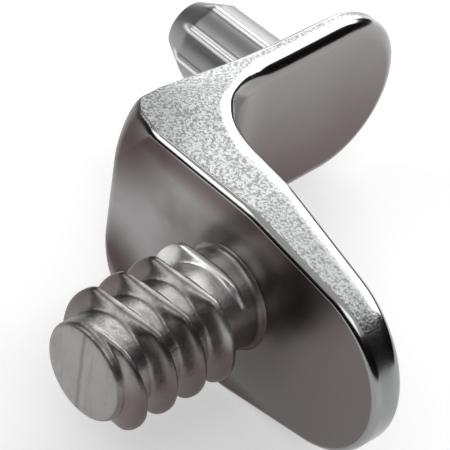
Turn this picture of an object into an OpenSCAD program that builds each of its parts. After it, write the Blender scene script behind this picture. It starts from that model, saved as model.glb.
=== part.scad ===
// Screw-in shelf support: one die-cast bracket with a coarse-threaded stud for
// the cabinet side and a ribbed pin that locates the shelf.
//
// The bracket lies on its side face. The stud's axis is the X axis and the
// cabinet side is the plane X = 0, so the stud points to -X, the shelf leg
// runs out along +X, and its ribbed pin points to +Y, which is up in use.

/* [Panel leg] */
// Length of the leg that lies against the cabinet side, from the outer corner
panel_leg_len = 17.5; // [15:0.1:24]
// Width of the panel leg
panel_leg_w = 10.5; // [9.6:0.1:14]
// Radius of the panel leg's round end
panel_tip_r = 4.4; // [3.2:0.1:4.6]
// Thickness of the panel leg at its round end
panel_tip_t = 1.65; // [1.2:0.05:2.4]
// Thickness the panel leg would have at the outer corner, before the inner fillet
panel_root_t = 3.95; // [3:0.05:5]

/* [Shelf leg] */
// Length of the leg that carries the shelf, from the outer corner
shelf_leg_len = 17.35; // [15.5:0.1:24]
// Radius of the shelf leg's round end, which is also half its width there
shelf_tip_r = 4.35; // [3.6:0.1:4.8]
// Distance from the outer corner at which the shelf leg reaches its end width
shelf_neck = 8; // [6:0.1:10]
// Thickness of the shelf leg at its round end
shelf_tip_t = 1.3; // [0.9:0.05:2]
// Thickness the shelf leg would have at the outer corner, before the inner fillet
shelf_root_t = 1.75; // [1.2:0.05:2.8]

/* [Corner and edges] */
// Radius of the fillet between the two legs' inner faces
inner_fillet_r = 5.5; // [3:0.1:6.5]
// Radius of the outer corner
outer_corner_r = 0.8; // [0.4:0.05:2]
// Length over which the outer corner's ends fall away to the side faces
corner_ease = 3.4; // [0.5:0.1:4]
// How far the outer corner has fallen away where it meets the side faces
corner_drop = 0.95; // [0.1:0.05:1.1]
// Rounding of the edges around the outer faces
outer_edge_r = 0.25; // [0.1:0.05:0.4]
// Rounding of the edges around the inner faces
inner_edge_r = 0.45; // [0.1:0.05:0.6]

/* [Screw stud] */
// Distance from the shelf leg's outer face down to the stud's axis
stud_drop = 8.2; // [7.2:0.1:9]
// Length of the stud from the panel leg's outer face
stud_len = 8.2; // [6:0.1:14]
// Core diameter of the stud
stud_core_d = 4.6; // [3.6:0.1:5]
// Diameter over the thread's crests
thread_d = 6.2; // [5.4:0.1:7]
// Width of the thread across the flats along the mould's parting line
thread_flat_w = 5.1; // [4.8:0.05:6.2]
// Pitch of the thread
thread_pitch = 1.63; // [1.3:0.01:2.2]
// Length of plain nose in front of the thread
nose_len = 0.45; // [0.3:0.05:1.5]
// Length of plain stud between the thread and the panel leg
thread_foot = 0.85; // [0.4:0.05:2]
// Chamfer at the end of the nose
nose_chamfer = 0.3; // [0.1:0.05:0.6]
// Radius of the fillet around the stud's foot
stud_fillet_r = 0.3; // [0.1:0.05:0.8]

/* [Shelf pin] */
// Distance from the panel leg's outer face to the pin's axis
pin_out = 11.3; // [9:0.1:13]
// Length of the pin from the shelf leg's outer face
pin_len = 6.85; // [4:0.05:12]
// Diameter of the pin's body at its foot
pin_foot_d = 4.3; // [3:0.05:5]
// Diameter of the pin's body where its nose cone starts
pin_top_d = 4.1; // [3:0.05:5]
// Diameter of the pin's flat end
pin_end_d = 2.6; // [1.4:0.1:2.9]
// Length of the pin's nose cone
pin_nose_len = 1.55; // [0.6:0.05:3]
// Radius of the fillet around the pin's foot
pin_fillet_r = 0.2; // [0.1:0.05:0.6]
// Number of ribs along the pin
rib_count = 8; // [4:2:12]
// Width of one rib
rib_w = 0.32; // [0.15:0.01:0.6]
// Height of the ribs above the pin's body
rib_h = 0.12; // [0.05:0.01:0.3]

/* [Hidden] */
$fn = 64;

// Facets of the lofted bracket
edge_steps = 4;
tip_steps = 12;
shoulder_steps = 3;
leg_steps = 5;
fan_steps = 4;
fillet_steps = 4;

// Facets of the thread
thread_step = 12;
ridge_steps = 9;
crest_excess = 0.03;

// Shape of the thread
crest_land = 0.15;
crest_hollow = 1.3;
front_share = 1;
back_share = 0.56;
runout_angle = 144;
foot_runout_angle = 135;
thread_end_angle = 20;

// How far solids reach into the one that carries them
sink = 0.6;

half_w = panel_leg_w / 2;
panel_tip_c = panel_leg_len - panel_tip_r;
shelf_tip_c = shelf_leg_len - shelf_tip_r;
panel_slope = (panel_root_t - panel_tip_t) / panel_leg_len;
shelf_slope = (shelf_root_t - shelf_tip_t) / shelf_leg_len;

// The panel leg's sides run parallel down to the stud, turn through this angle
// around it and then close in on the round end
shoulder_angle = asin((half_w - panel_tip_r) / (panel_tip_c - stud_drop));

// Centre and tangent points of the inner fillet, as [distance out, distance down]
panel_n = [1, panel_slope] / norm([1, panel_slope]);
shelf_n = [shelf_slope, 1] / norm([shelf_slope, 1]);
panel_c = panel_root_t + inner_fillet_r * norm([1, panel_slope]);
shelf_c = shelf_root_t + inner_fillet_r * norm([1, shelf_slope]);
fillet_c = [panel_c - panel_slope * shelf_c, shelf_c - shelf_slope * panel_c]
    / (1 - panel_slope * shelf_slope);
fillet_down = (fillet_c - inner_fillet_r * panel_n)[1];
fillet_out = (fillet_c - inner_fillet_r * shelf_n)[0];
fillet_start = 180 + atan(panel_slope);
fillet_end = 270 - atan(shelf_slope);

function mix(a, b, t) = a + (b - a) * t;
function polar(r, angle) = [r * cos(angle), r * sin(angle)];

// Half width of the shelf leg at a distance out from the panel
function shelf_half(out) =
    mix(half_w, shelf_tip_r, min(1, out / shelf_neck));

// A station of the loft: [outer point, inner point, half width, share of an
// inset that goes across the leg, shift of the outer and of the inner point
// for each mm of inset, inset and depth of the outer face's rounding]
function panel_station(down, half, angle) = [
    [0, down],
    [panel_root_t - panel_slope * down, down],
    half,
    sin(angle),
    [0, cos(angle)],
    [-panel_slope * cos(angle), cos(angle)],
    outer_edge_r,
    outer_edge_r
];

function shelf_station(out, half, angle) = [
    [out, 0],
    [out, shelf_root_t - shelf_slope * out],
    half,
    sin(angle),
    [cos(angle), 0],
    [cos(angle), -shelf_slope * cos(angle)],
    outer_edge_r,
    outer_edge_r
];

// Stations around the inner fillet: the outer points run down the panel leg,
// round the outer corner and out along the shelf leg
function fan_outer(i) =
    let (t = i / fan_steps)
    t < 1 ? [0, mix(fillet_down, outer_corner_r, t)] :
    t < 2 ? [outer_corner_r, outer_corner_r] + polar(outer_corner_r, 90 + 90 * t) :
    [mix(outer_corner_r, fillet_out, t - 2), 0];

function fan_station(i) =
    let (
        outer = fan_outer(i),
        angle = mix(fillet_start, fillet_end, i / (3 * fan_steps)),
        near = max(0, 1 - norm(outer - [0, 0]) / (3 * outer_corner_r))
    )
    [
        outer,
        fillet_c + polar(inner_fillet_r, angle),
        shelf_half(outer[0]),
        1,
        [0, 0],
        [0, 0],
        mix(outer_edge_r, corner_ease, near),
        mix(outer_edge_r, corner_drop, near)
    ];

tip_angle = 90 - shoulder_angle;

stations = concat(
    [for (i = [0 : tip_steps])
        let (angle = mix(tip_angle / (2 * tip_steps), tip_angle, i / tip_steps))
        let (p = polar(panel_tip_r, angle))
        panel_station(panel_tip_c + p[0], p[1], angle)],
    [for (i = [0 : shoulder_steps])
        let (angle = mix(tip_angle, 90, i / shoulder_steps))
        let (p = polar(half_w, angle))
        panel_station(stud_drop + p[0], p[1], angle)],
    [for (i = [0 : 3 * fan_steps]) fan_station(i)],
    [for (i = [1 : leg_steps])
        let (out = mix(fillet_out, shelf_tip_c, i / leg_steps))
        shelf_station(out, shelf_half(out), 90)],
    [for (i = [tip_steps - 1 : -1 : 0])
        let (angle = mix(90 / (2 * tip_steps), 90, i / tip_steps))
        let (p = polar(shelf_tip_r, angle))
        shelf_station(shelf_tip_c + p[0], p[1], angle)]
);

// One point of a station's ring, an inset in from the side face and a depth in
// from the outer or the inner face
function ring_point(s, on_inner, depth, inset, side) =
    let (
        outer = s[0] - inset * s[4],
        inner = s[1] - inset * s[5],
        across = (inner - outer) / norm(inner - outer),
        p = on_inner ? inner - depth * across : outer + depth * across
    )
    [p[0], stud_drop - p[1], side * (s[2] - inset * s[3])];

function edge_run(s, on_inner, side) =
    let (
        inset = on_inner ? inner_edge_r : s[6],
        depth = on_inner ? inner_edge_r : s[7]
    )
    [for (k = [0 : edge_steps])
        let (angle = 90 * k / edge_steps)
        ring_point(s, on_inner, depth * (1 - cos(angle)), inset * (1 - sin(angle)), side)];

function reversed(list) = [for (i = [len(list) - 1 : -1 : 0]) list[i]];

function ring(s) = concat(
    edge_run(s, false, 1),
    reversed(edge_run(s, true, 1)),
    edge_run(s, true, -1),
    reversed(edge_run(s, false, -1))
);

// Faces of a loft through rings of n points, closed by strips across its ends
function loft_sides(rings, n) = [
    for (i = [0 : rings - 2])
        for (k = [0 : n - 1])
            let (j = (k + 1) % n)
            [i * n + k, i * n + j, (i + 1) * n + j, (i + 1) * n + k]
];

function end_strips(base, n, flip) = [
    for (k = [0 : n / 2 - 2])
        let (strip = [base + k, base + n - 1 - k, base + n - 2 - k, base + k + 1])
        flip ? reversed(strip) : strip
];

module bracket() {
    n = 4 * (edge_steps + 1);
    rings = len(stations);
    polyhedron(
        points = [for (s = stations) each ring(s)],
        faces = concat(
            [for (f = loft_sides(rings, n)) reversed(f)],
            end_strips(0, n, true),
            end_strips((rings - 1) * n, n, false)
        ),
        convexity = 4
    );
}

// Thread ridge around the Z axis: it has a narrow land at its crest, a long
// hollow flank that faces the nose and a steep one behind. It rises from the
// core behind the nose and sinks back into it before the panel leg, and it is
// lower along the mould's parting line, which lies in the XZ plane
core_r = stud_core_d / 2;
crest_r = thread_d / 2;
flat_r = thread_flat_w / 2;
thread_top = stud_len - nose_len;
thread_sweep = 360 * (thread_top - thread_foot) / thread_pitch;
ridge_count = floor(thread_sweep / thread_step);
root_r = core_r - 0.05;
keel_r = core_r - 0.6;

function ridge_ring(i) =
    let (
        back = i * thread_step,
        ahead = (ridge_count - i) * thread_step,
        grown = min(1, back / runout_angle, ahead / foot_runout_angle),
        angle = thread_end_angle - back,
        z = thread_top - thread_pitch * back / 360,
        top_r = min(crest_r, flat_r / max(abs(cos(angle)), flat_r / thread_d)),
        rise = (top_r + crest_excess - root_r) * sin(90 * grown),
        reach = thread_pitch / 2 * mix(0.2, 1, grown)
    )
    concat(
        [[keel_r * cos(angle), keel_r * sin(angle), z]],
        [for (k = [0 : ridge_steps])
            let (t = ridge_steps - 2 * k)
            let (share = (abs(t) - 1) / (ridge_steps - 1))
            let (foot = reach * (t > 0 ? back_share : front_share))
            let (off = sign(t) * mix(crest_land / 2, foot, share))
            let (r = root_r + rise * pow((1 + cos(180 * share)) / 2, crest_hollow))
            [r * cos(angle), r * sin(angle), z - off]]
    );

module thread_ridge() {
    n = ridge_steps + 2;
    last = ridge_count * n;
    polyhedron(
        points = [for (i = [0 : ridge_count]) each ridge_ring(i)],
        faces = concat(
            [for (f = loft_sides(ridge_count + 1, n)) reversed(f)],
            [for (k = [1 : n - 2]) [0, k, k + 1]],
            [for (k = [1 : n - 2]) [last, last + k + 1, last + k]]
        ),
        convexity = 10
    );
}

// Points of a fillet from the plane Z = 0 up to a body of radius r
function foot_fillet(r, fillet_r) = [
    for (i = [0 : fillet_steps])
        [r + fillet_r, fillet_r] + polar(fillet_r, 270 - 90 * i / fillet_steps)
];

// Stud along the Z axis with the panel leg's outer face at Z = 0
module screw_stud() {
    rotate_extrude()
        polygon([
            [0, -sink],
            [core_r + stud_fillet_r, -sink],
            each foot_fillet(core_r, stud_fillet_r),
            [core_r, stud_len - nose_chamfer],
            [core_r - nose_chamfer, stud_len],
            [0, stud_len]
        ]);
    intersection() {
        thread_ridge();
        cylinder(r = crest_r, h = stud_len);
        translate([-flat_r, -thread_d, 0])
            cube([thread_flat_w, 2 * thread_d, stud_len]);
    }
}

// Solid of revolution of the pin, grown outwards by a margin
module pin_body(margin) {
    rotate_extrude()
        polygon([
            [0, -sink],
            [pin_foot_d / 2 + margin, -sink],
            [pin_foot_d / 2 + margin, 0],
            [pin_top_d / 2 + margin, pin_len - pin_nose_len],
            [pin_end_d / 2 + margin, pin_len],
            [0, pin_len]
        ]);
}

// Pin along the Z axis with the shelf leg's outer face at Z = 0
module shelf_pin() {
    pin_body(0);
    rotate_extrude()
        polygon([
            [0, -sink],
            [pin_foot_d / 2 + pin_fillet_r, -sink],
            each foot_fillet(pin_foot_d / 2, pin_fillet_r),
            [0, pin_fillet_r]
        ]);
    intersection() {
        pin_body(rib_h);
        for (i = [0 : rib_count / 2 - 1])
            rotate([0, 0, 180 * i / (rib_count / 2)])
                translate([-pin_foot_d, -rib_w / 2, -sink])
                    cube([2 * pin_foot_d, rib_w, pin_len + sink]);
    }
}

module shelf_support() {
    color([0.70, 0.69, 0.67]) {
        bracket();
        rotate([0, -90, 0])
            screw_stud();
        translate([pin_out, stud_drop, 0])
            rotate([-90, 0, 0])
                shelf_pin();
    }
}

shelf_support();
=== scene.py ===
import math

import bmesh
import bpy
from mathutils import Matrix, Vector


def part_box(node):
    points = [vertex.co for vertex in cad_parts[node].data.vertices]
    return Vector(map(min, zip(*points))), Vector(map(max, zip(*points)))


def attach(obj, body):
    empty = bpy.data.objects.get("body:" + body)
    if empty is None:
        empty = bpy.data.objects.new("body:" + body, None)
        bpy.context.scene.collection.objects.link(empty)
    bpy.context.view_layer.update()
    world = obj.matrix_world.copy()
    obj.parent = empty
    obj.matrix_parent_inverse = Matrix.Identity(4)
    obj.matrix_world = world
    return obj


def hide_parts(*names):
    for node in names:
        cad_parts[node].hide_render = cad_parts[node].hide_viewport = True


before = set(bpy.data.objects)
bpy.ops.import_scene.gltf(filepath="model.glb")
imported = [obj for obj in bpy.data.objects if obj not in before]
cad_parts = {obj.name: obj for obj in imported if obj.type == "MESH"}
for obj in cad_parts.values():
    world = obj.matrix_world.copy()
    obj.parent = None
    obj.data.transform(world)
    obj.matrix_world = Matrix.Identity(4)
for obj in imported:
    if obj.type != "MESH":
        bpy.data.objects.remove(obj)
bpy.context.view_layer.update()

mm = 0.001
nodeName = "shelf_support"
lowCorner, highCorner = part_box(nodeName)
print("frame loaded", [round(v / mm, 2) for v in highCorner - lowCorner])


def mix(a, b, t):
    return a + (b - a) * t


def cosd(angle):
    return math.cos(math.radians(angle))


def sind(angle):
    return math.sin(math.radians(angle))


def setSocket(tree, socket, value):
    if isinstance(value, bpy.types.NodeSocket):
        tree.links.new(value, socket)
    else:
        socket.default_value = value


def addNode(tree, kind, settings=None, **inputs):
    node = tree.nodes.new(kind)
    for name, value in (settings or {}).items():
        setattr(node, name, value)
    for name, value in inputs.items():
        setSocket(tree, node.inputs[name.replace("_", " ")], value)
    return node


def calc(tree, operation, *values):
    node = addNode(tree, "ShaderNodeMath", {"operation": operation})
    for socket, value in zip(node.inputs, values):
        setSocket(tree, socket, value)
    return node.outputs[0]


def product(tree, first, *others):
    for value in others:
        first = calc(tree, "MULTIPLY", first, value)
    return first


def total(tree, first, *others):
    for value in others:
        first = calc(tree, "ADD", first, value)
    return first


def oneMinus(tree, value):
    return calc(tree, "SUBTRACT", 1.0, value)


def clamped(tree, value):
    return addNode(tree, "ShaderNodeClamp", Value=value).outputs[0]


def ramp(tree, value, low, high, start=0.0, end=1.0):
    node = addNode(tree, "ShaderNodeMapRange", {"interpolation_type": "SMOOTHSTEP"},
                   Value=value, From_Min=low, From_Max=high, To_Min=start, To_Max=end)
    return node.outputs[0]


# lengths in mm and angles in degrees; each leg is 0.01 mm shorter than the solid's
bracket = {
    "panelLegLength": 17.49,
    "panelLegWidth": 10.5,
    "panelTipRadius": 4.4,
    "panelTipThickness": 1.65,
    "panelRootThickness": 3.95,
    "shelfLegLength": 17.34,
    "shelfTipRadius": 4.35,
    "shelfNeck": 8.0,  # how far out the shelf leg stops narrowing
    "neckBend": 0.25,  # how softly it stops, as a share of the neck
    "shelfTipThickness": 1.3,
    "shelfRootThickness": 1.75,
    "innerFillet": 5.5,
    "filletEase": 1.2,  # where the fillet's edge starts to narrow, in thirds of the fan
    "outerCorner": 0.8,
    "cornerSpan": 3,  # how far the corner's fall-away reaches, in corner radii
    "cornerEase": 3.4,  # its inset from the side face at full strength
    "cornerDrop": 0.95,  # and its depth
    "outerEdge": 0.27,
    "outerEdgeDepth": 0.32,
    "innerEdge": 0.45,
    "shelfEdgeInset": 0.75,
    "shelfEdgeDepth": 0.50,
    "edgeLead": 0.12,  # extra ring on the face, as a share of the edge's depth
    "edgeBow": 1.25,  # 1 is an elliptic edge and 2 a plain chamfer
    "rimWidth": 0.45,
    "rimLimit": 0.3,  # the rim's most, as a share of the leg's thickness
    "rimStart": 0.4,  # its rings step from this share of its width to all of it
    "panelRim": 0.35,  # how strong the rim is on the side face, by the panel leg
    "outerRim": 0.3,  # and by the outer faces
    "outerRimWidth": 0.06,
    "studDrop": 8.2,  # from the shelf leg's outer face down to the stud's axis
    "pinOut": 11.3,  # from the panel leg's outer face out to the pin's axis
    "edgeSteps": 10,
    "rimSteps": 4,
    "tipSteps": 36,
    "shoulderSteps": 6,
    "legSteps": 16,
    "fanSteps": 14,
}


# a station is a section across a leg, from its outer to its inner face, as (out, down) places
def bracketStations(p):
    half = p["panelLegWidth"] / 2
    panelTipC = p["panelLegLength"] - p["panelTipRadius"]
    shelfTipC = p["shelfLegLength"] - p["shelfTipRadius"]
    panelSlope = (p["panelRootThickness"] - p["panelTipThickness"]) / p["panelLegLength"]
    shelfSlope = (p["shelfRootThickness"] - p["shelfTipThickness"]) / p["shelfLegLength"]
    turn = math.degrees(math.asin((half - p["panelTipRadius"]) / (panelTipC - p["studDrop"])))
    # centre and ends of the fillet between the two tapered inner faces
    r = p["innerFillet"]
    panelC = p["panelRootThickness"] + r * math.hypot(1, panelSlope)
    shelfC = p["shelfRootThickness"] + r * math.hypot(1, shelfSlope)
    spread = 1 - panelSlope * shelfSlope
    filletOut = (panelC - panelSlope * shelfC) / spread
    filletDown = (shelfC - shelfSlope * panelC) / spread
    startAngle = 180 + math.degrees(math.atan(panelSlope))
    endAngle = 270 - math.degrees(math.atan(shelfSlope))
    downEnd = filletDown + r * sind(startAngle)
    outEnd = filletOut + r * cosd(endAngle)

    def shelfHalf(out):
        # the taper runs into the straight part over a short bend
        share, bend = out / p["shelfNeck"], p["neckBend"]
        straight = min(1, max(0, 0.5 + 0.5 * (1 - share) / bend))
        return mix(half, p["shelfTipRadius"],
                   mix(1, share, straight) - bend * straight * (1 - straight))

    def panelStation(down, halfWidth, angle):
        return {"outer": (0, down),
                "inner": (p["panelRootThickness"] - panelSlope * down, down),
                "half": halfWidth, "innerHalf": halfWidth, "across": sind(angle),
                "outerShift": (0, cosd(angle)),
                "innerShift": (-panelSlope * cosd(angle), cosd(angle)),
                "inset": p["outerEdge"], "depth": p["outerEdgeDepth"],
                "ease": 0, "onShelf": 0, "rim": 0}

    def shelfStation(out, halfWidth, angle):
        return {"outer": (out, 0),
                "inner": (out, p["shelfRootThickness"] - shelfSlope * out),
                "half": halfWidth, "innerHalf": halfWidth, "across": sind(angle),
                "outerShift": (cosd(angle), 0),
                "innerShift": (cosd(angle), -shelfSlope * cosd(angle)),
                "inset": p["outerEdge"], "depth": p["outerEdgeDepth"],
                "ease": 0, "onShelf": 1, "rim": 1}

    def fanStation(i):
        # t runs to 1 along the panel leg, to 2 round the outer corner, to 3 along the shelf leg
        t = i / p["fanSteps"]
        corner = p["outerCorner"]
        if t < 1:
            outer = (0, mix(downEnd, corner, t))
        elif t < 2:
            outer = (corner + corner * cosd(90 + 90 * t), corner + corner * sind(90 + 90 * t))
        else:
            outer = (mix(corner, outEnd, t - 2), 0)
        angle = mix(startAngle, endAngle, t / 3)
        near = max(0, 1 - math.hypot(*outer) / (p["cornerSpan"] * corner))
        # the fillet's edge eases into the shelf leg's, without the outer face's bend
        eased = min(1, max(0, (t - p["filletEase"]) / (3 - p["filletEase"])))
        eased = eased * eased * (3 - 2 * eased)
        return {"outer": outer,
                "inner": (filletOut + r * cosd(angle), filletDown + r * sind(angle)),
                "half": shelfHalf(outer[0]), "innerHalf": mix(half, shelfHalf(outEnd), eased),
                "across": 1, "outerShift": (0, 0), "innerShift": (0, 0),
                "inset": mix(p["outerEdge"], p["cornerEase"], near),
                "depth": mix(p["outerEdgeDepth"], p["cornerDrop"], near),
                "ease": near, "onShelf": min(1, max(0, t - 1)), "rim": min(1, t)}

    tipAngle = 90 - turn
    n = p["tipSteps"]
    stations = []
    for i in range(n + 1):
        angle = mix(tipAngle / (2 * n), tipAngle, i / n)
        stations.append(panelStation(panelTipC + p["panelTipRadius"] * cosd(angle),
                                     p["panelTipRadius"] * sind(angle), angle))
    for i in range(p["shoulderSteps"] + 1):
        angle = mix(tipAngle, 90, i / p["shoulderSteps"])
        stations.append(panelStation(p["studDrop"] + half * cosd(angle),
                                     half * sind(angle), angle))
    stations += [fanStation(i) for i in range(3 * p["fanSteps"] + 1)]
    for i in range(1, p["legSteps"] + 1):
        out = mix(outEnd, shelfTipC, i / p["legSteps"])
        stations.append(shelfStation(out, shelfHalf(out), 90))
    for i in range(n - 1, -1, -1):
        angle = mix(90 / (2 * n), 90, i / n)
        stations.append(shelfStation(shelfTipC + p["shelfTipRadius"] * cosd(angle),
                                     p["shelfTipRadius"] * sind(angle), angle))
    return stations


# a point at a depth under the outer or inner face, inset from the side face
def ringPoint(p, s, onInner, depth, inset, side):
    outer = [a - inset * b for a, b in zip(s["outer"], s["outerShift"])]
    inner = [a - inset * b for a, b in zip(s["inner"], s["innerShift"])]
    gap = math.dist(outer, inner)
    t = (gap - depth if onInner else depth) / gap
    out, down = mix(outer[0], inner[0], t), mix(outer[1], inner[1], t)
    half = mix(s["half"], s["innerHalf"], t)
    return (out * mm, (p["studDrop"] - down) * mm, side * (half - inset * s["across"]) * mm)


# a rounded edge from its face to the side face: each entry holds the point, how far it has
# turned to the side face, and its share of the smooth rim
def edgeRun(p, s, onInner, side):
    depth, inset, bow = s["depth"], s["inset"], p["edgeBow"]
    gap = math.dist(s["outer"], s["inner"])
    width, fade, polish = p["outerRimWidth"], p["outerRim"], 1 - s["ease"]
    if onInner:
        depth = mix(p["innerEdge"], p["shelfEdgeDepth"], s["rim"])
        inset = mix(p["innerEdge"], p["shelfEdgeInset"], s["rim"])
        bow = mix(1, p["edgeBow"], s["rim"])
        width = min(p["rimWidth"], p["rimLimit"] * gap)
        fade, polish = mix(p["panelRim"], 1, s["rim"]), 1
    run = [(0, inset + p["edgeLead"] * depth, 0, 0)]
    for k in range(p["edgeSteps"] + 1):
        angle = 90 * k / p["edgeSteps"]
        turned = depth * sind(angle) / math.hypot(depth * sind(angle), inset * cosd(angle))
        if not onInner:
            turned = mix(turned ** (1 + 2 * s["ease"]), 1, s["ease"] * s["onShelf"])
        run.append((depth * (1 - max(0, cosd(angle)) ** bow),
                    inset * (1 - sind(angle) ** bow), turned, polish))
    for k in range(1, p["rimSteps"] + 1):
        share = k / p["rimSteps"]
        run.append((depth + width * mix(p["rimStart"], 1, share), 0, 1, fade * (1 - share)))
    return [(ringPoint(p, s, onInner, d, i, side), turned, rim) for d, i, turned, rim in run]


def makeBracket(p):
    rings = []
    for s in bracketStations(p):
        ring = edgeRun(p, s, False, 1) + edgeRun(p, s, True, 1)[::-1]
        ring += edgeRun(p, s, True, -1) + edgeRun(p, s, False, -1)[::-1]
        rings.append(ring)
    n = len(rings[0])
    last = (len(rings) - 1) * n
    corners = [q for ring in rings for q in ring]
    faces = []
    for base in range(0, last, n):
        for k in range(n):
            j = (k + 1) % n
            faces.append((base + k, base + j, base + n + j, base + n + k))
    # both round ends are closed by strips across the leg
    for base, flip in ((0, True), (last, False)):
        for k in range(n // 2 - 1):
            strip = (base + k, base + k + 1, base + n - 2 - k, base + n - 1 - k)
            faces.append(strip[::-1] if flip else strip)
    mesh = bpy.data.meshes.new("bracket")
    mesh.from_pydata([place for place, _, _ in corners], [], faces)
    for name, values in (("sideShare", [turned for _, turned, _ in corners]),
                         ("rimShare", [rim for _, _, rim in corners])):
        mesh.attributes.new(name, "FLOAT", "POINT").data.foreach_set("value", values)
    return mesh


bracketMesh = makeBracket(bracket)
print("bracket lofted", len(bracketMesh.polygons))


def startTree(name, inputs):
    tree = bpy.data.node_groups.new(name, "GeometryNodeTree")
    for label, value in inputs.items():
        kind = "NodeSocketInt" if isinstance(value, int) else "NodeSocketFloat"
        tree.interface.new_socket(name=label, in_out="INPUT", socket_type=kind)
    tree.interface.new_socket(name="Geometry", in_out="OUTPUT", socket_type="NodeSocketGeometry")
    group = tree.nodes.new("NodeGroupInput")
    return tree, {label: group.outputs[label] for label in inputs}


def wrappedGrid(tree, inp):
    # a flat grid whose X becomes the turn and whose Y the path along the axis
    grid = addNode(tree, "GeometryNodeMeshGrid", Size_X=1.0, Size_Y=1.0,
                   Vertices_X=inp["around"], Vertices_Y=inp["along"])
    spot = addNode(tree, "ShaderNodeSeparateXYZ",
                   Vector=tree.nodes.new("GeometryNodeInputPosition").outputs[0])
    turn = calc(tree, "MULTIPLY", calc(tree, "ADD", spot.outputs[0], 0.5), 2 * math.pi)
    along = calc(tree, "ADD", spot.outputs[1], 0.5)
    return grid.outputs["Mesh"], turn, along


def capped(tree, inp, along):
    # path along the axis: a closed foot, the length of the piece, then across the flat end
    path = calc(tree, "ADD", inp["length"], calc(tree, "ADD", inp["sink"], inp["capPath"]))
    raw = calc(tree, "SUBTRACT", calc(tree, "MULTIPLY", along, path), inp["sink"])
    height = calc(tree, "MINIMUM", raw, inp["length"])
    left = calc(tree, "SUBTRACT", calc(tree, "ADD", inp["length"], inp["capPath"]), raw)
    left = clamped(tree, calc(tree, "DIVIDE", left, inp["capPath"]))
    foot = clamped(tree, calc(tree, "MULTIPLY", along, inp["along"]))
    return height, calc(tree, "MULTIPLY", left, foot)


def flare(tree, inp, height):
    # small fillet where the piece stands on its leg
    low = clamped(tree, calc(tree, "DIVIDE", calc(tree, "MAXIMUM", height, 0.0), inp["footFlare"]))
    rest = oneMinus(tree, low)
    bow = calc(tree, "SQRT", oneMinus(tree, calc(tree, "MULTIPLY", rest, rest)))
    return calc(tree, "MULTIPLY", inp["footFlare"], oneMinus(tree, bow))


def finishTree(tree, inp, mesh, turn, radius, height, attributes):
    spot = addNode(tree, "ShaderNodeCombineXYZ", Z=height,
                   X=calc(tree, "MULTIPLY", radius, calc(tree, "COSINE", turn)),
                   Y=calc(tree, "MULTIPLY", radius, calc(tree, "SINE", turn)))
    geometry = mesh
    for name, value in attributes.items():
        geometry = addNode(tree, "GeometryNodeStoreNamedAttribute",
                           {"data_type": "FLOAT", "domain": "POINT"},
                           Geometry=geometry, Name=name, Value=value).outputs[0]
    moved = addNode(tree, "GeometryNodeSetPosition", Geometry=geometry, Position=spot.outputs[0])
    welded = addNode(tree, "GeometryNodeMergeByDistance", Geometry=moved.outputs[0],
                     Distance=inp["weldGap"])
    real = addNode(tree, "GeometryNodeRealizeInstances", Geometry=welded.outputs[0])
    painted = addNode(tree, "GeometryNodeSetMaterial", Geometry=real.outputs[0], Material=nickel)
    output = tree.nodes.new("NodeGroupOutput")
    tree.links.new(painted.outputs[0], output.inputs[0])


# lengths in mm and angles in degrees
stud = {
    "length": 8.2,
    "coreRadius": 2.3,
    "crestRadius": 3.1,
    "pitch": 1.63,
    "noseLength": 0.45,
    "noseRounding": 0.3,
    "crestLand": 0.15,
    "flatHeight": 2.55,  # from the axis to each of the two flats
    "flatBlend": 0.25,  # how softly the crest meets them
    "flatGuard": 0.05,  # keeps a division clear of zero
    "fullness": 1.3,  # more makes the flanks hollower
    "frontShare": 1.0,  # each flank's length, as a share of half a pitch
    "backShare": 0.56,
    "startReach": 0.2,  # the flanks' length where the thread starts, as a share of the full one
    "runoutAngle": 144.0,
    "footRunoutAngle": 135.0,
    "threadFoot": 0.85,  # height above the leg where the thread has died away
    "endAngle": 20.0,  # the turn at which it ends behind the nose
    "rootSink": 0.05,  # how far the ridge starts under the core's surface
    "rootBlend": 0.06,  # how softly the two meet
    "sink": 0.6,  # how far the foot goes into the leg
    "footFlare": 0.3,
    "capPath": 1.2,  # length of path spent across the flat end
    "weldGap": 0.0001,
    "around": 192,
    "along": 170,
}


def threadGrown(tree, inp, top, crestAt):
    # the thread starts behind the nose and dies away again near the leg
    back = calc(tree, "DIVIDE", calc(tree, "SUBTRACT", top, crestAt), inp["pitch"])
    onward = calc(tree, "DIVIDE", calc(tree, "SUBTRACT", crestAt, inp["threadFoot"]), inp["pitch"])
    return clamped(tree, calc(
        tree, "MINIMUM",
        calc(tree, "DIVIDE", calc(tree, "MULTIPLY", back, 360.0), inp["runoutAngle"]),
        calc(tree, "DIVIDE", calc(tree, "MULTIPLY", onward, 360.0), inp["footRunoutAngle"])))


def threadBell(tree, inp, off, grown):
    # the flank that faces the nose is long and hollow, the one behind it is steep
    onFront = calc(tree, "GREATER_THAN", off, 0.0)
    span = calc(tree, "ADD", calc(tree, "MULTIPLY", onFront, inp["frontShare"]),
                calc(tree, "MULTIPLY", oneMinus(tree, onFront), inp["backShare"]))
    widening = calc(tree, "MULTIPLY_ADD", grown, oneMinus(tree, inp["startReach"]),
                    inp["startReach"])
    reach = product(tree, span, calc(tree, "MULTIPLY", inp["pitch"], 0.5), widening)
    landHalf = calc(tree, "MULTIPLY", inp["crestLand"], 0.5)
    share = clamped(tree, calc(
        tree, "DIVIDE", calc(tree, "SUBTRACT", calc(tree, "ABSOLUTE", off), landHalf),
        calc(tree, "SUBTRACT", reach, landHalf)))
    wave = calc(tree, "ADD", 1.0, calc(tree, "COSINE", calc(tree, "MULTIPLY", share, math.pi)))
    return calc(tree, "POWER", calc(tree, "MULTIPLY", wave, 0.5), inp["fullness"])


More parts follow.
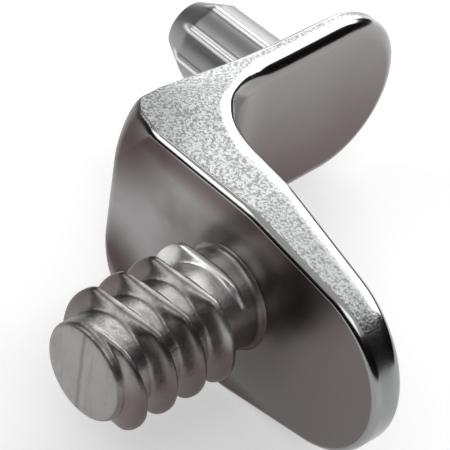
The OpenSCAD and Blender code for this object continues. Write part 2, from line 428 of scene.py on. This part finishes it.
def studTree(values):
    tree, inp = startTree("coarseThread", values)
    mesh, turn, along = wrappedGrid(tree, inp)
    height, cap = capped(tree, inp, along)
    pitchPerTurn = calc(tree, "DIVIDE", inp["pitch"], 2 * math.pi)
    top = calc(tree, "SUBTRACT", inp["length"], inp["noseLength"])
    endTurn = calc(tree, "RADIANS", inp["endAngle"])
    first = calc(tree, "SUBTRACT", top, calc(tree, "MULTIPLY", pitchPerTurn, endTurn))
    climbed = calc(tree, "SUBTRACT", calc(tree, "SUBTRACT", height, first),
                   calc(tree, "MULTIPLY", pitchPerTurn, turn))
    wave = calc(tree, "DIVIDE", climbed, inp["pitch"])
    # off is the height above the nearest crest: ten whole turns keep the fraction's input
    # above zero, and half a turn centres the crest
    fraction = calc(tree, "FRACT", calc(tree, "ADD", wave, 10.5))
    off = calc(tree, "MULTIPLY", inp["pitch"], calc(tree, "SUBTRACT", fraction, 0.5))
    grown = threadGrown(tree, inp, top, calc(tree, "SUBTRACT", height, off))
    bell = threadBell(tree, inp, off, grown)
    swell = calc(tree, "SINE", calc(tree, "MULTIPLY", grown, math.pi / 2))

    # the crest is cut by two flats along the mould's parting line
    flat = calc(tree, "DIVIDE", inp["flatHeight"], calc(
        tree, "MAXIMUM", calc(tree, "ABSOLUTE", calc(tree, "COSINE", turn)), inp["flatGuard"]))
    crestTop = calc(tree, "SMOOTH_MIN", inp["crestRadius"], flat, inp["flatBlend"])
    # rounded nose
    noseFoot = calc(tree, "SUBTRACT", inp["length"], inp["noseRounding"])
    into = clamped(tree, calc(tree, "DIVIDE", calc(tree, "SUBTRACT", height, noseFoot),
                              inp["noseRounding"]))
    drop = oneMinus(tree, calc(tree, "SQRT", oneMinus(tree, calc(tree, "MULTIPLY", into, into))))
    core = calc(tree, "SUBTRACT", inp["coreRadius"],
                calc(tree, "MULTIPLY", drop, inp["noseRounding"]))
    root = calc(tree, "SUBTRACT", core, inp["rootSink"])
    rise = calc(tree, "MULTIPLY", calc(tree, "SUBTRACT", crestTop, root), swell)
    ridge = calc(tree, "ADD", root, calc(tree, "MULTIPLY", rise, bell))
    core = calc(tree, "ADD", core, flare(tree, inp, height))
    body = calc(tree, "SMOOTH_MAX", core, ridge, inp["rootBlend"])
    body = calc(tree, "MINIMUM", body, inp["crestRadius"])
    crest = addNode(tree, "ShaderNodeMapRange", Value=body, From_Min=inp["coreRadius"],
                    From_Max=inp["crestRadius"]).outputs[0]
    finishTree(tree, inp, mesh, turn, calc(tree, "MULTIPLY", body, cap), height,
               {"crestShare": crest, "studShare": 1.0})
    return tree


# lengths in mm
pin = {
    "length": 6.85,
    "footRadius": 2.15,
    "topRadius": 2.05,  # at the foot of the nose cone
    "endRadius": 1.3,  # at the flat end
    "noseLength": 1.55,
    "noseBlend": 0.08,  # how softly the nose meets the body
    "ribCount": 8,
    "ribWidth": 0.32,
    "ribHeight": 0.12,
    "ribSoftness": 0.9,  # 0 is a square rib and 1 a fully soft one
    "ribFade": 0.9,  # length over which the ribs die away on the nose
    "sink": 0.6,
    "footFlare": 0.2,
    "capPath": 0.9,
    "weldGap": 0.0001,
    "around": 320,
    "along": 80,
}


def pinRib(tree, inp, turn, height, noseAt):
    sector = calc(tree, "DIVIDE", 2 * math.pi, inp["ribCount"])
    fraction = calc(tree, "FRACT", calc(tree, "ADD", calc(tree, "DIVIDE", turn, sector), 0.5))
    off = calc(tree, "MULTIPLY", sector, calc(tree, "SUBTRACT", fraction, 0.5))
    aside = calc(tree, "MULTIPLY", calc(tree, "ABSOLUTE", off), inp["footRadius"])
    halfWidth = calc(tree, "MULTIPLY", inp["ribWidth"], 0.5)
    soft = inp["ribSoftness"]
    rib = ramp(tree, aside, calc(tree, "MULTIPLY", halfWidth, oneMinus(tree, soft)),
               calc(tree, "MULTIPLY", halfWidth, calc(tree, "ADD", 1.0, soft)), 1.0, 0.0)
    # the ribs die away on the nose
    left = ramp(tree, height, noseAt, calc(tree, "ADD", noseAt, inp["ribFade"]), 1.0, 0.0)
    return calc(tree, "MULTIPLY", rib, left)


def pinTree(values):
    tree, inp = startTree("ribbedPin", values)
    mesh, turn, along = wrappedGrid(tree, inp)
    height, cap = capped(tree, inp, along)
    noseAt = calc(tree, "SUBTRACT", inp["length"], inp["noseLength"])
    low = addNode(tree, "ShaderNodeMapRange", Value=height, From_Max=noseAt,
                  To_Min=inp["footRadius"], To_Max=inp["topRadius"]).outputs[0]
    nose = addNode(tree, "ShaderNodeMapRange", {"clamp": False}, Value=height,
                   From_Min=noseAt, From_Max=inp["length"],
                   To_Min=inp["topRadius"], To_Max=inp["endRadius"]).outputs[0]
    body = calc(tree, "SMOOTH_MIN", low, nose, inp["noseBlend"])
    body = calc(tree, "ADD", body, flare(tree, inp, height))
    rib = pinRib(tree, inp, turn, height, noseAt)
    full = calc(tree, "ADD", body, calc(tree, "MULTIPLY", rib, inp["ribHeight"]))
    finishTree(tree, inp, mesh, turn, calc(tree, "MULTIPLY", full, cap), height,
               {"crestShare": rib, "pinShare": 1.0})
    return tree


# lengths in metres; a pattern is its size, detail and roughness, a reach is where a change
# starts and ends, and a share is how strong it gets
plating = {
    # all over
    # this colour is tarnish in clouds and patches, and also painted shade along the edges, low on
    # both legs and on the stud's shaded side
    "tarnishAndShadeColour": (0.115, 0.082, 0.077, 1.0),
    # this colour is painted shade by the outer corner, round the stud, at shadeAt and in the
    # stud's fillet, and a real stain for the flat end's seam and streaks
    "stainAndShadeColour": (0.055, 0.029, 0.029, 1.0),
    "cloudPattern": (5.0 * mm, 3.0, 0.55),
    "cloudBlur": 0.18,
    "castPattern": (0.9 * mm, 3.0, 0.5),
    "castDepth": 0.006 * mm,
    # legs
    "faceColour": (0.30, 0.295, 0.294, 1.0),
    "faceRoughness": 0.32,
    "cloudReach": (0.50, 0.72),
    "cloudShare": 0.40,
    "wander": 3.0 * mm,  # how far the clouds push the borders of the painted shade
    "cornerShadeReach": (5.5 * mm, 2.2 * mm),
    "cornerShadeShare": 0.92,
    "cornerBlur": 0.25,
    "edgeShadeReach": (3.3 * mm, 4.7 * mm),
    "edgeShadeShare": 0.85,
    "shelfStart": (1.0 * mm, 4.0 * mm),
    "shelfShadeReach": (6.5 * mm, -4.0 * mm),
    "shelfShadeShare": 0.88,
    "panelShadeReach": (3.0 * mm, -5.0 * mm),
    "panelShadeShare": 0.55,
    "aroundStudShade": (5.2 * mm, 2.6 * mm),
    "aroundShadeShare": 0.40,
    "shadeAt": (-3.2 * mm, 3.0 * mm),
    "shadeReach": (3.0 * mm, 0.9 * mm),
    "shadeShare": 0.62,
    # side faces and their smooth rims
    "sideColour": (0.335, 0.34, 0.34, 1.0),
    "sideRoughness": 0.25,
    "sideShade": 0.55,
    "grainColour": (0.105, 0.107, 0.108, 1.0),
    "grainPattern": (0.13 * mm, 2.5, 0.6),
    "grainDepth": 0.026 * mm,
    "grainReach": (0.42, 0.62),
    "grainTone": 0.80,
    "grainEnd": (-7.0 * mm, -8.5 * mm),  # where the grain clears towards the round end
    "grainLoss": 0.85,  # how much of it goes
    # painted highlight on the smooth rims, on the upper side only
    "rimHighlightColour": (0.52, 0.52, 0.515, 1.0),
    "rimRoughness": 0.15,
    "rimHighlightFrom": (0.0, 1.0 * mm),
    "rimHighlightTurned": (0.60, 0.97),
    # stud
    # painted shade along the thread's crests
    "crestShadeColour": (0.19, 0.176, 0.173, 1.0),
    "valleyColour": (0.33, 0.32, 0.318, 1.0),
    "crestShadeReach": (0.15, 0.95),
    "studRoughness": 0.39,
    "studPattern": (0.35 * mm, 3.0, 0.6),
    "studDepth": 0.021 * mm,
    "patchPattern": (0.65 * mm, 4.0, 0.65),
    "patchReach": (0.46, 0.66),
    "patchShare": 0.42,
    "brightAim": (-0.30, 0.95),  # the Y and Z that the thread's lit side faces; the stretches facing away get painted shade
    "brightReach": (0.90, 0.35),
    "shadedSideShare": 0.68,
    "footHighlightColour": (0.78, 0.775, 0.77, 1.0),
    "footHighlight": (0.3 * mm, 1.6 * mm),
    "footHighlightReach": (-3.2 * mm, -2.0 * mm),
    "rootShadeReach": (-0.50 * mm, -0.05 * mm),
    "rootShadeShare": 0.75,
    "endDepth": (0.1 * mm, 0.02 * mm),  # where the flat end's finish takes over, under the end
    "endCleaner": 0.8,  # how much of the patches the flat end is free of
    "seamReach": (0.20 * mm, 0.02 * mm),
    "seamWander": 1.2 * mm,
    "seamShare": 0.36,
    "streakPattern": (0.35 * mm, 3.0, 0.6),
    "streakStretch": (1.0, 1.0, 0.12),
    "streakReach": (0.45, 0.75),
    "streakShare": 0.16,
    # pin
    "pinColour": (0.31, 0.306, 0.306, 1.0),
    "pinRoughness": 0.42,
    # painted highlight along the pin's ribs
    "ribHighlightColour": (0.82, 0.82, 0.82, 1.0),
    "ribHighlightReach": (0.0, 0.6),
}


def mixColour(tree, share, first, second):
    node = addNode(tree, "ShaderNodeMix", {"data_type": "RGBA"})
    for index, value in ((0, share), (6, first), (7, second)):
        setSocket(tree, node.inputs[index], value)
    return node.outputs[2]


def mixValue(tree, share, first, second):
    node = addNode(tree, "ShaderNodeMix", {"data_type": "FLOAT"})
    for index, value in ((0, share), (2, first), (3, second)):
        setSocket(tree, node.inputs[index], value)
    return node.outputs[0]


def noise(tree, place, size, detail, roughness):
    node = addNode(tree, "ShaderNodeTexNoise", Vector=place, Scale=1.0 / size,
                   Detail=detail, Roughness=roughness)
    return node.outputs["Fac"]


def distance(tree, *offsets):
    squares = [calc(tree, "POWER", offset, 2.0) for offset in offsets]
    return calc(tree, "SQRT", total(tree, *squares))


def readSpot(tree, p):
    place = addNode(tree, "ShaderNodeTexCoord").outputs["Object"]
    x, y, z = addNode(tree, "ShaderNodeSeparateXYZ", Vector=place).outputs
    spot = {"place": place, "x": x, "y": y, "z": z}
    for name in ("sideShare", "rimShare", "crestShare", "studShare", "pinShare"):
        spot[name] = addNode(tree, "ShaderNodeAttribute", {"attribute_name": name}).outputs["Fac"]
    spot["cloud"] = noise(tree, place, *p["cloudPattern"])
    spot["drift"] = calc(tree, "SUBTRACT", spot["cloud"], 0.5)
    spot["onShelf"] = ramp(tree, x, *p["shelfStart"])
    spot["axisGap"] = distance(tree, y, z)
    spot["tipWear"] = calc(tree, "MULTIPLY", ramp(tree, y, *p["grainEnd"]), p["grainLoss"])
    wander = calc(tree, "MULTIPLY", spot["drift"], p["wander"])

    # painted shade by place: by the outer corner's two ends and low on the panel leg
    across = calc(tree, "ABSOLUTE", z)
    cornerGap = distance(tree, calc(tree, "SUBTRACT", y, bracket["studDrop"] * mm), x,
                         calc(tree, "SUBTRACT", across, bracket["panelLegWidth"] / 2 * mm))
    spot["corner"] = calc(tree, "MULTIPLY", p["cornerShadeShare"], ramp(
        tree, calc(tree, "ADD", cornerGap, wander), *p["cornerShadeReach"]))
    # painted shade, darker towards the panel leg's round end
    spot["panelLow"] = product(tree, oneMinus(tree, spot["onShelf"]), p["panelShadeShare"],
                               ramp(tree, calc(tree, "ADD", y, wander), *p["panelShadeReach"]))
    spot["across"], spot["wander"] = across, wander
    return spot


def legColour(tree, p, spot):
    # tarnish in soft clouds; painted shade along the long edges and low on both legs, then darker
    # painted shade by the corner, round the stud and at shadeAt
    clouds = calc(tree, "MULTIPLY", ramp(tree, spot["cloud"], *p["cloudReach"]), p["cloudShare"])
    # painted shade along the long edges
    edgeShade = calc(tree, "MULTIPLY", p["edgeShadeShare"], ramp(tree, spot["across"], *p["edgeShadeReach"]))
    # painted shade, darker towards the shelf leg's lower side
    shelfLowShade = product(tree, spot["onShelf"], p["shelfShadeShare"], ramp(
        tree, calc(tree, "ADD", spot["z"], spot["wander"]), *p["shelfShadeReach"]))
    tarnishAndShade = clouds
    for part in (edgeShade, shelfLowShade, spot["panelLow"]):
        tarnishAndShade = calc(tree, "MAXIMUM", tarnishAndShade, part)
    # the tarnish and painted shade are left off the panel leg's smooth rims
    onPanel = oneMinus(tree, spot["onShelf"])
    rimClear = calc(tree, "MULTIPLY", spot["rimShare"], onPanel)
    tarnishAndShade = calc(tree, "MULTIPLY", tarnishAndShade, oneMinus(tree, rimClear))
    # painted shade round the stud
    around = calc(tree, "MULTIPLY", p["aroundShadeShare"],
                  ramp(tree, spot["axisGap"], *p["aroundStudShade"]))
    shadeY, shadeZ = p["shadeAt"]
    shadeGap = distance(tree, calc(tree, "SUBTRACT", spot["y"], shadeY),
                        calc(tree, "SUBTRACT", spot["z"], shadeZ))
    shade = product(tree, onPanel, p["shadeShare"], ramp(tree, shadeGap, *p["shadeReach"]))
    # painted shade: by the corner, round the stud and at shadeAt
    paintedShade = calc(tree, "MAXIMUM", spot["corner"], calc(tree, "MAXIMUM", around, shade))
    face = mixColour(tree, tarnishAndShade, p["faceColour"], p["tarnishAndShadeColour"])
    return mixColour(tree, paintedShade, face, p["stainAndShadeColour"])


def studColour(tree, p, spot):
    x, y, z = spot["x"], spot["y"], spot["z"]
    # the crests are painted darker than the valleys: painted shade along the crest lines
    thread = mixColour(tree, ramp(tree, spot["crestShare"], *p["crestShadeReach"]),
                       p["valleyColour"], p["crestShadeColour"])
    endFace = ramp(tree, x, *[depth - stud["length"] * mm for depth in p["endDepth"]])
    # tarnish in patches, and painted shade on the stretches that face away from brightAim
    patch = noise(tree, spot["place"], *p["patchPattern"])
    patches = product(tree, ramp(tree, patch, *p["patchReach"]), p["patchShare"],
                      oneMinus(tree, calc(tree, "MULTIPLY", endFace, p["endCleaner"])))
    aimY, aimZ = p["brightAim"]
    aimed = calc(tree, "DIVIDE", calc(tree, "ADD", calc(tree, "MULTIPLY", y, aimY),
                                      calc(tree, "MULTIPLY", z, aimZ)), spot["axisGap"])
    shadedSide = product(tree, ramp(tree, aimed, *p["brightReach"]), oneMinus(tree, endFace),
                   p["shadedSideShare"])
    thread = mixColour(tree, calc(tree, "MAXIMUM", patches, shadedSide), thread, p["tarnishAndShadeColour"])
    # the parting line's seam and fine streaks, on the flat end only
    stretched = addNode(tree, "ShaderNodeMapping", Vector=spot["place"],
                        Scale=p["streakStretch"]).outputs[0]
    streak = noise(tree, stretched, *p["streakPattern"])
    seamGap = calc(tree, "ABSOLUTE", calc(
        tree, "ADD", y, calc(tree, "MULTIPLY", spot["drift"], p["seamWander"])))
    seam = calc(tree, "MAXIMUM",
                calc(tree, "MULTIPLY", ramp(tree, seamGap, *p["seamReach"]), p["seamShare"]),
                calc(tree, "MULTIPLY", ramp(tree, streak, *p["streakReach"]), p["streakShare"]))
    thread = mixColour(tree, calc(tree, "MULTIPLY", seam, endFace), thread, p["stainAndShadeColour"])
    # painted highlight on the top of the foot, and painted shade in its fillet
    footHighlight = calc(tree, "MULTIPLY", ramp(tree, z, *p["footHighlight"]), ramp(tree, x, *p["footHighlightReach"]))
    thread = mixColour(tree, footHighlight, thread, p["footHighlightColour"])
    root = calc(tree, "MULTIPLY", ramp(tree, x, *p["rootShadeReach"]), p["rootShadeShare"])
    return mixColour(tree, root, thread, p["stainAndShadeColour"])


def sideColour(tree, p, spot, grain, grainy):
    tone = product(tree, ramp(tree, grain, *p["grainReach"]), p["grainTone"], grainy)
    # painted shade low on the panel leg's side face
    tone = calc(tree, "MAXIMUM", tone, calc(tree, "MULTIPLY", spot["panelLow"], p["sideShade"]))
    return mixColour(tree, tone, p["sideColour"], p["grainColour"])


def makePlating(p):
    material = bpy.data.materials.new("nickelPlating")
    material.use_nodes = True
    tree = material.node_tree
    tree.nodes.clear()
    spot = readSpot(tree, p)
    side, smooth, onStud, onPin = [
        spot[name] for name in ("sideShare", "rimShare", "studShare", "pinShare")]

    # grain of the side faces, which the smooth rim is free of
    grain = noise(tree, spot["place"], *p["grainPattern"])
    grainy = product(tree, side, oneMinus(tree, smooth), oneMinus(tree, spot["tipWear"]))

    # painted highlight along the pin's ribs
    pinWithRibHighlights = mixColour(tree, ramp(tree, spot["crestShare"], *p["ribHighlightReach"]),
                       p["pinColour"], p["ribHighlightColour"])
    colour = mixColour(tree, onStud, legColour(tree, p, spot), studColour(tree, p, spot))
    colour = mixColour(tree, onPin, colour, pinWithRibHighlights)
    colour = mixColour(tree, side, colour, sideColour(tree, p, spot, grain, grainy))
    # painted highlight on the smooth rims where they turn to the side face, on the upper side
    bright = product(tree, smooth, ramp(tree, side, *p["rimHighlightTurned"]),
                     ramp(tree, spot["z"], *p["rimHighlightFrom"]), oneMinus(tree, spot["tipWear"]))
    colour = mixColour(tree, bright, colour, p["rimHighlightColour"])

    skin = noise(tree, spot["place"], *p["castPattern"])
    pits = noise(tree, spot["place"], *p["studPattern"])
    height = total(tree, product(tree, grain, grainy, p["grainDepth"]),
                   calc(tree, "MULTIPLY", skin, p["castDepth"]),
                   product(tree, pits, onStud, p["studDepth"]))
    bump = addNode(tree, "ShaderNodeBump", Strength=1.0, Distance=1.0, Height=height)

    rough = mixValue(tree, onStud, mixValue(tree, onPin, p["faceRoughness"], p["pinRoughness"]),
                     p["studRoughness"])
    rough = calc(tree, "MULTIPLY_ADD", spot["drift"], p["cloudBlur"], rough)
    sideRough = calc(tree, "MULTIPLY_ADD", spot["corner"], p["cornerBlur"], p["sideRoughness"])
    rough = mixValue(tree, smooth, mixValue(tree, side, rough, sideRough), p["rimRoughness"])
    shader = addNode(tree, "ShaderNodeBsdfPrincipled", Base_Color=colour, Metallic=1.0,
                     Roughness=rough, Normal=bump.outputs[0])
    output = addNode(tree, "ShaderNodeOutputMaterial")
    tree.links.new(shader.outputs[0], output.inputs["Surface"])
    return material


nickel = makePlating(plating)
print("plating material made", len(nickel.node_tree.nodes))


def bakeTree(name, tree, values):
    holder = bpy.data.objects.new(name, bpy.data.meshes.new(name))
    bpy.context.scene.collection.objects.link(holder)
    modifier = holder.modifiers.new("shape", "NODES")
    modifier.node_group = tree
    for item in tree.interface.items_tree:
        if item.in_out == "INPUT":
            modifier[item.identifier] = values[item.name]
    shown = holder.evaluated_get(bpy.context.evaluated_depsgraph_get())
    mesh = bpy.data.meshes.new_from_object(shown)
    bpy.data.objects.remove(holder)
    return mesh


# both are made upright, then the stud is laid along -X and the pin along +Y
studMesh = bakeTree("threadedStud", studTree(stud), stud)
studMesh.transform(Matrix.Scale(mm, 4))
studMesh.transform(Matrix.Rotation(math.radians(-90), 4, "Y"))
pinMesh = bakeTree("ribbedPin", pinTree(pin), pin)
pinMesh.transform(Matrix.Scale(mm, 4))
pinMesh.transform(Matrix.Translation((bracket["pinOut"] * mm, bracket["studDrop"] * mm, 0))
                  @ Matrix.Rotation(math.radians(-90), 4, "X"))
print("stud and pin wrapped", len(studMesh.polygons), len(pinMesh.polygons))


def makeCasting(meshes):
    # three closed shells that reach into each other, in one mesh
    bm = bmesh.new()
    for mesh in meshes:
        bm.from_mesh(mesh)
    joined = bpy.data.meshes.new("shelfSupport")
    bm.to_mesh(joined)
    bm.free()
    return joined


casting = bpy.data.objects.new("shelfSupport", makeCasting([bracketMesh, studMesh, pinMesh]))
bpy.context.scene.collection.objects.link(casting)
casting.data.materials.clear()
casting.data.materials.append(nickel)
for polygon in casting.data.polygons:
    polygon.use_smooth = True
    polygon.material_index = 0
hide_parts(nodeName)
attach(casting, "root")
print("casting made", len(casting.data.polygons))


# sizes and distances in metres; a lamp's level is how bright it is as a colour
stage = {
    "floorSize": 1.6,
    "floorColour": (0.70, 0.70, 0.70, 1.0),
    "floorRoughness": 0.9,
    "floorLift": 0.48,
    "worldColour": (0.012, 0.009, 0.009, 1.0),
    "lampDistance": 0.45,
}

lamps = {
    "overhead": {"azimuth": 0.0, "elevation": 90.0, "size": (0.80, 0.80), "level": 0.50},
    "key": {"azimuth": 13.0, "elevation": 41.0, "size": (0.52, 0.28), "level": 2.75},
    "rim": {"azimuth": 132.0, "elevation": 42.0, "size": (0.26, 0.20), "level": 2.4},
    "fill": {"azimuth": 38.0, "elevation": 15.0, "size": (0.22, 0.21), "level": 2.4},
    "front": {"azimuth": 212.0, "elevation": 55.0, "size": (0.24, 0.20), "level": 1.4},
}


def makeFloor():
    size = stage["floorSize"] / 2
    z = lowCorner[2]
    mesh = bpy.data.meshes.new("floor")
    mesh.from_pydata([(-size, -size, z), (size, -size, z), (size, size, z), (-size, size, z)],
                     [], [(0, 1, 2, 3)])
    floor = bpy.data.objects.new("floor", mesh)
    bpy.context.scene.collection.objects.link(floor)
    material = bpy.data.materials.new("paleFloor")
    material.use_nodes = True
    tree = material.node_tree
    shader = tree.nodes["Principled BSDF"]
    shader.inputs["Base Color"].default_value = stage["floorColour"]
    shader.inputs["Roughness"].default_value = stage["floorRoughness"]
    shader.inputs["Emission Color"].default_value = (1.0, 1.0, 1.0, 1.0)
    # the paper's own white, for what the camera and the metal see of it
    path = tree.nodes.new("ShaderNodeLightPath").outputs
    seen = calc(tree, "MAXIMUM", path["Is Camera Ray"],
                calc(tree, "MAXIMUM", path["Is Glossy Ray"], path["Is Transmission Ray"]))
    lift = calc(tree, "MULTIPLY", seen, stage["floorLift"])
    tree.links.new(lift, shader.inputs["Emission Strength"])
    mesh.materials.append(material)


def makeLamp(name, lamp):
    width, height = lamp["size"]
    light = bpy.data.lights.new(name + "Softbox", "AREA")
    light.shape = "RECTANGLE"
    light.size, light.size_y = width, height
    light.energy = lamp["level"] * math.pi * width * height
    holder = bpy.data.objects.new(name + "Softbox", light)
    bpy.context.scene.collection.objects.link(holder)
    level = cosd(lamp["elevation"])
    toward = Vector((level * cosd(lamp["azimuth"]), level * sind(lamp["azimuth"]),
                     sind(lamp["elevation"])))
    holder.location = toward * stage["lampDistance"]
    holder.rotation_euler = (-toward).to_track_quat("-Z", "Y").to_euler()


makeFloor()
for name, lamp in lamps.items():
    makeLamp(name, lamp)

world = bpy.data.worlds.new("studio")
bpy.context.scene.world = world
world.use_nodes = True
world.node_tree.nodes["Background"].inputs["Color"].default_value = stage["worldColour"]
print("floor and lamps set", len(lamps))


# place and clip in metres, lens and sensor in mm; right and back are the camera's own X and Z
view = {
    "place": (-0.0730, -0.0645, 0.0898),
    "right": (0.734, -0.669, 0.116),
    "back": (-0.560, -0.500, 0.661),
    "lens": 244.8,
    "sensor": 36.0,
    "clip": (0.01, 5.0),
}


def makeCamera(p):
    camera = bpy.data.objects.new("camera", bpy.data.cameras.new("camera"))
    bpy.context.scene.collection.objects.link(camera)
    camera.data.sensor_width = p["sensor"]
    camera.data.lens = p["lens"]
    camera.data.clip_start, camera.data.clip_end = p["clip"]
    back = Vector(p["back"]).normalized()
    up = back.cross(Vector(p["right"]).normalized()).normalized()
    right = up.cross(back).normalized()
    turned = Matrix((right, up, back)).transposed().to_4x4()
    camera.matrix_world = Matrix.Translation(p["place"]) @ turned
    return camera


bpy.context.scene.camera = makeCamera(view)
bpy.context.scene.view_settings.view_transform = "Standard"
bpy.context.view_layer.update()
print("scene ready")
